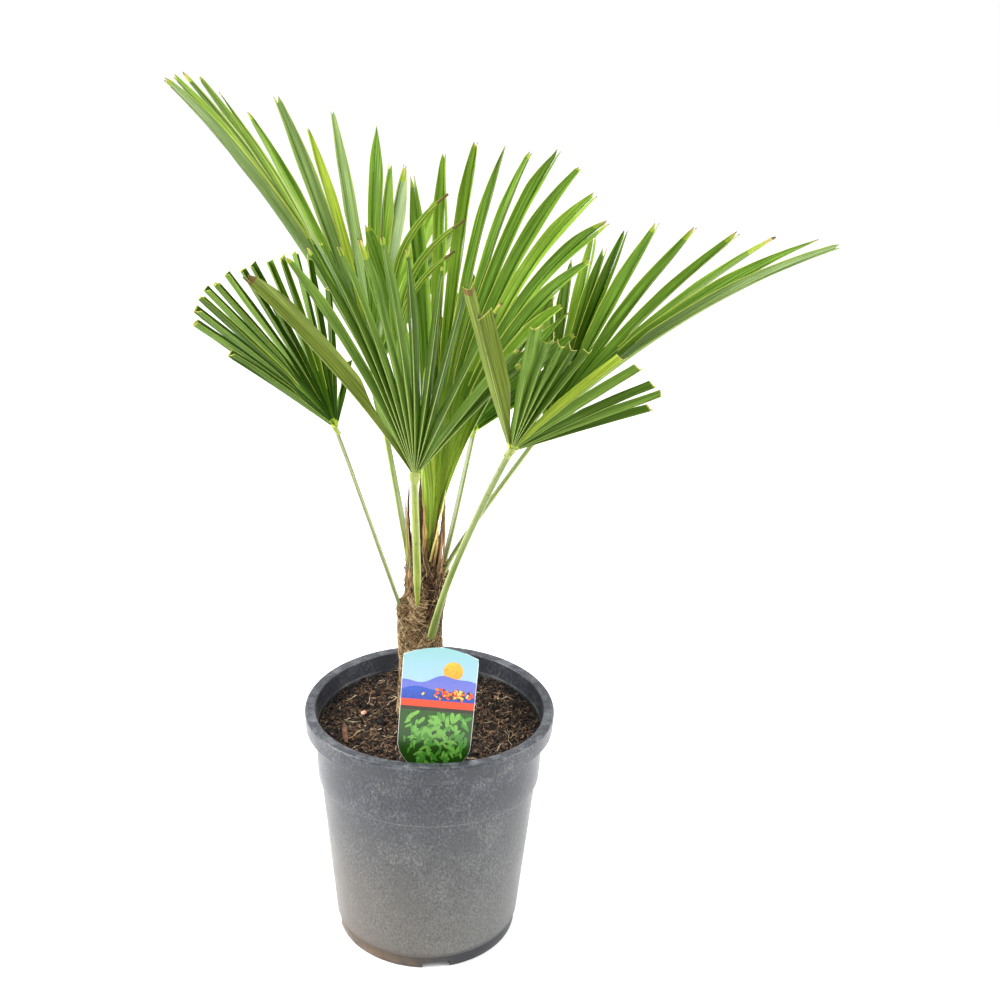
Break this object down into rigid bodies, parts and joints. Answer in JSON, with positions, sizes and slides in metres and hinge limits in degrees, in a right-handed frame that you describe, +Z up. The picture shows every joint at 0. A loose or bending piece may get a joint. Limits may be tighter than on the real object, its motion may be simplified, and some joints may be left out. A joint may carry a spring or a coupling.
{
  "type": "potted windmill palm",
  "caption": "Young windmill palm in a round tapered nursery pot: fan fronds on slim stalks over a short fibre-clad trunk, with soil and a plain label.",
  "frame": {"origin": "centre of the pot's flat underside, on the pot's axis", "axes": "+Z up along the pot's axis, +X to the plant's right as the picture shows it, -Y towards the viewer"},
  "size_m": [0.486, 0.4758, 0.7305],
  "materials": {
    "pot_plastic": "dark grey moulded plastic, dusty and scuffed",
    "soil": "moist brown potting compost with bark and straw",
    "label": "thin printed card, semi-gloss",
    "trunk_fibre": "rough brown leaf-sheath fibre",
    "petiole": "smooth yellow-green stalk",
    "leaf": "satin green pleated leaf"
  },
  "bodies": {
    "root": {"pot": "pot_plastic", "soil": "soil", "plant_tag": "label", "trunk": "trunk_fibre", "petiole_front": "petiole", "petiole_left": "petiole", "petiole_right": "petiole", "petiole_right_back": "petiole", "petiole_back": "petiole", "petiole_left_back": "petiole", "spear": "leaf", "frond_front": "leaf", "frond_left": "leaf", "frond_right": "leaf", "frond_right_back": "leaf", "frond_back": "leaf", "frond_left_back": "leaf", "frond_centre": "leaf"}
  },
  "joints": []
}
